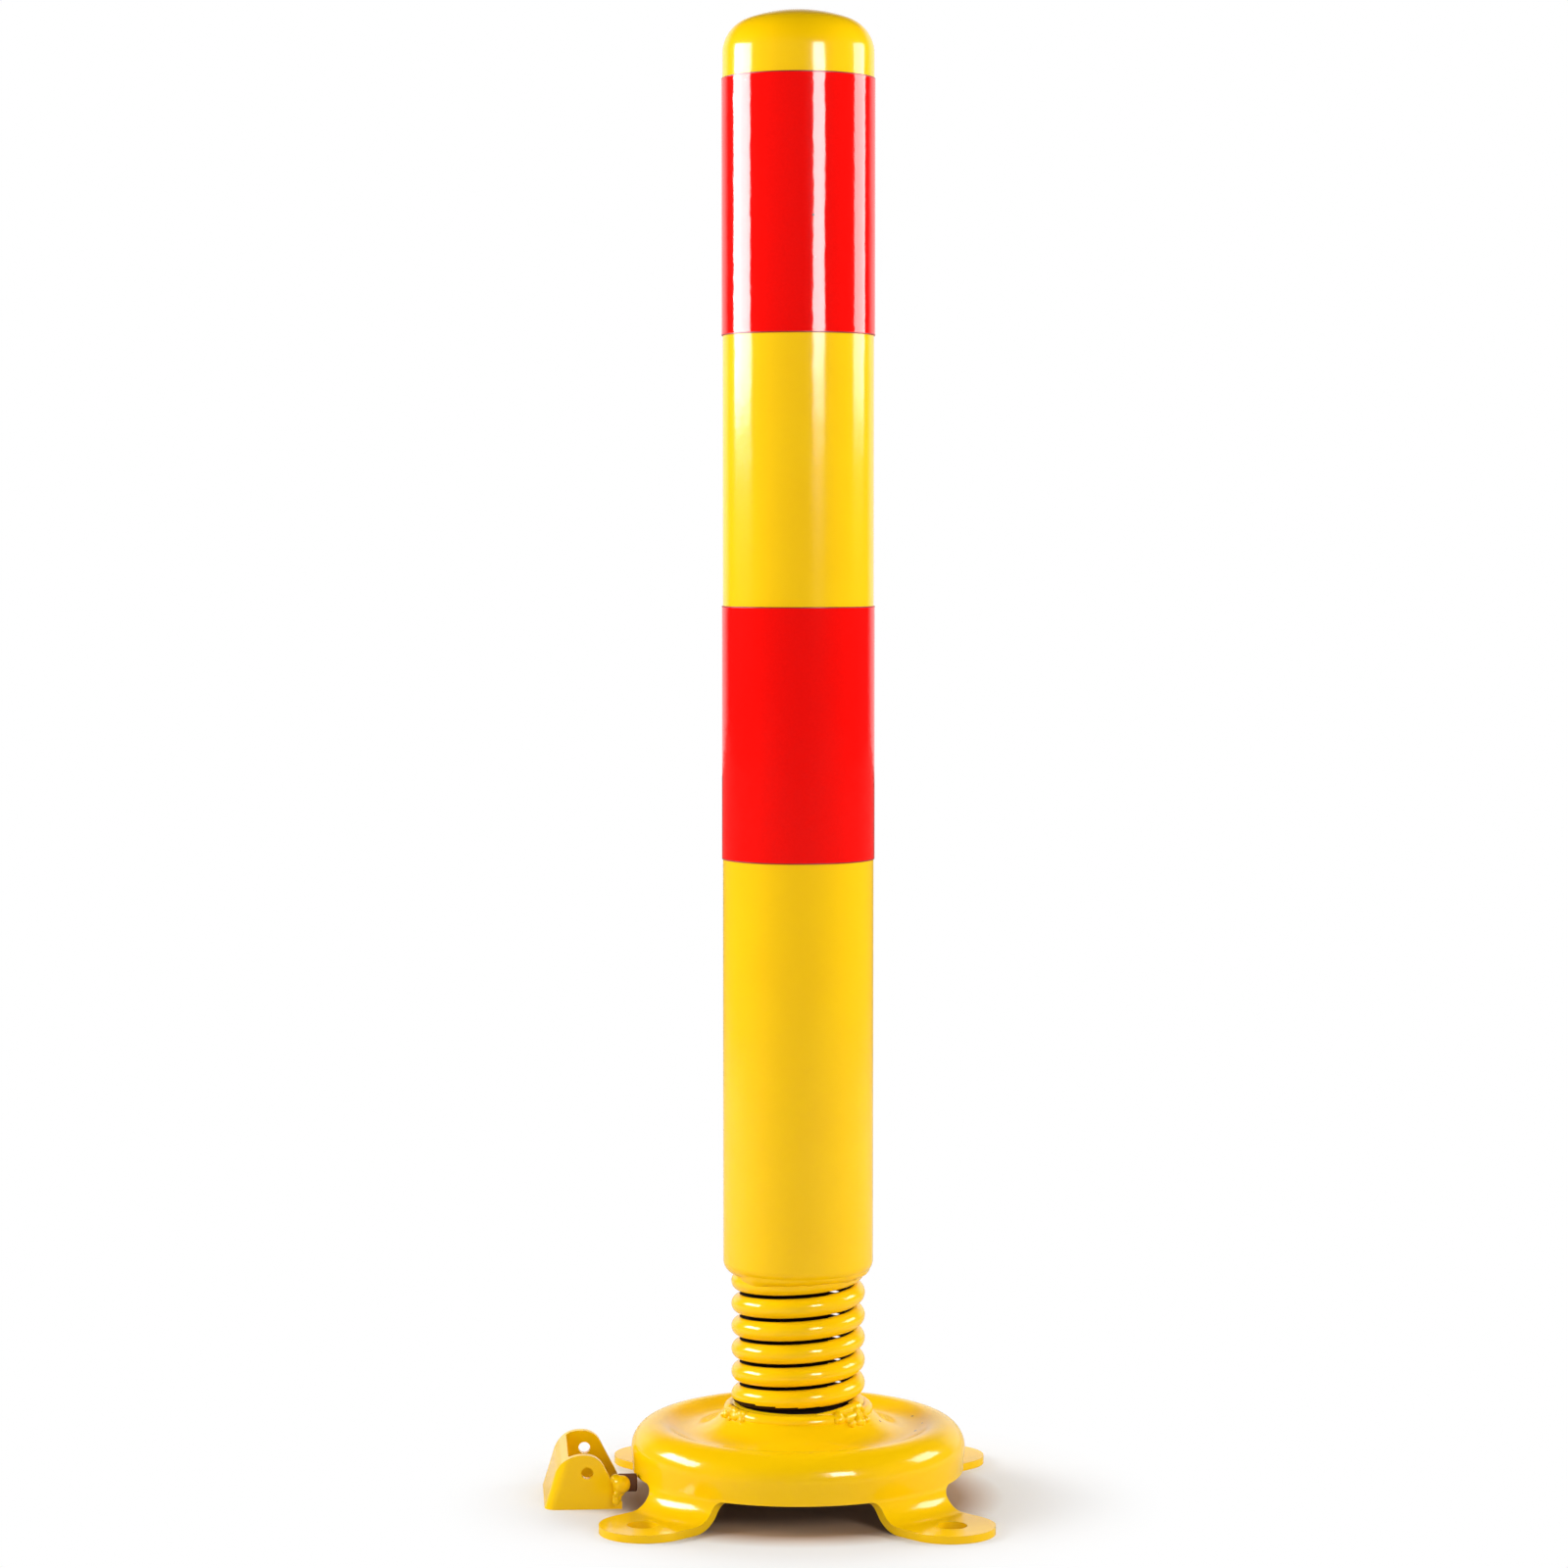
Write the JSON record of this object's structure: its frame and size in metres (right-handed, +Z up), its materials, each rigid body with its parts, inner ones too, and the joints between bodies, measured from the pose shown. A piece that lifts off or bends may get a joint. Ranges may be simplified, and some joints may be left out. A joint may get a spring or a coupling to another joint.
{
  "type": "bolt-down spring bollard",
  "caption": "Round street post with a domed top and reflective bands, on a coil spring that lets it tip and return, over a pressed dish base with bolt-down feet and a side bracket.",
  "frame": {"origin": "on the ground, at the centre of the bolt circle and on the post's axis", "axes": "+Z up along the post, -Y to the front, the side bracket on -X"},
  "size_m": [0.2295, 0.1952, 0.75],
  "materials": {
    "yellow_paint": "glossy powder coat on steel",
    "red_film": "glossy reflective film"
  },
  "bodies": {
    "base": {"base_pressing": "yellow_paint", "side_bracket": "yellow_paint", "bracket_cross_bar": "yellow_paint"},
    "spring": {"coil_spring": "yellow_paint"},
    "post": {"lower_end_cap": "yellow_paint", "post_tube": "yellow_paint", "domed_cap": "yellow_paint", "lower_reflective_band": "red_film", "upper_reflective_band": "red_film"}
  },
  "joints": [
    {"name": "tip_front_back", "type": "hinge", "parent": "base", "child": "spring", "pos_m": [0, 0, 0.0655], "axis": [1, 0, 0], "range_deg": [-30, 30], "stiffness_Nm_per_rad": 85, "deforming": ["coil_spring"]},
    {"name": "tip_sideways", "type": "hinge", "parent": "spring", "child": "post", "pos_m": [0, 0, 0.0985], "axis": [0, 1, 0], "range_deg": [-30, 30], "stiffness_Nm_per_rad": 85, "deforming": ["coil_spring"]}
  ]
}
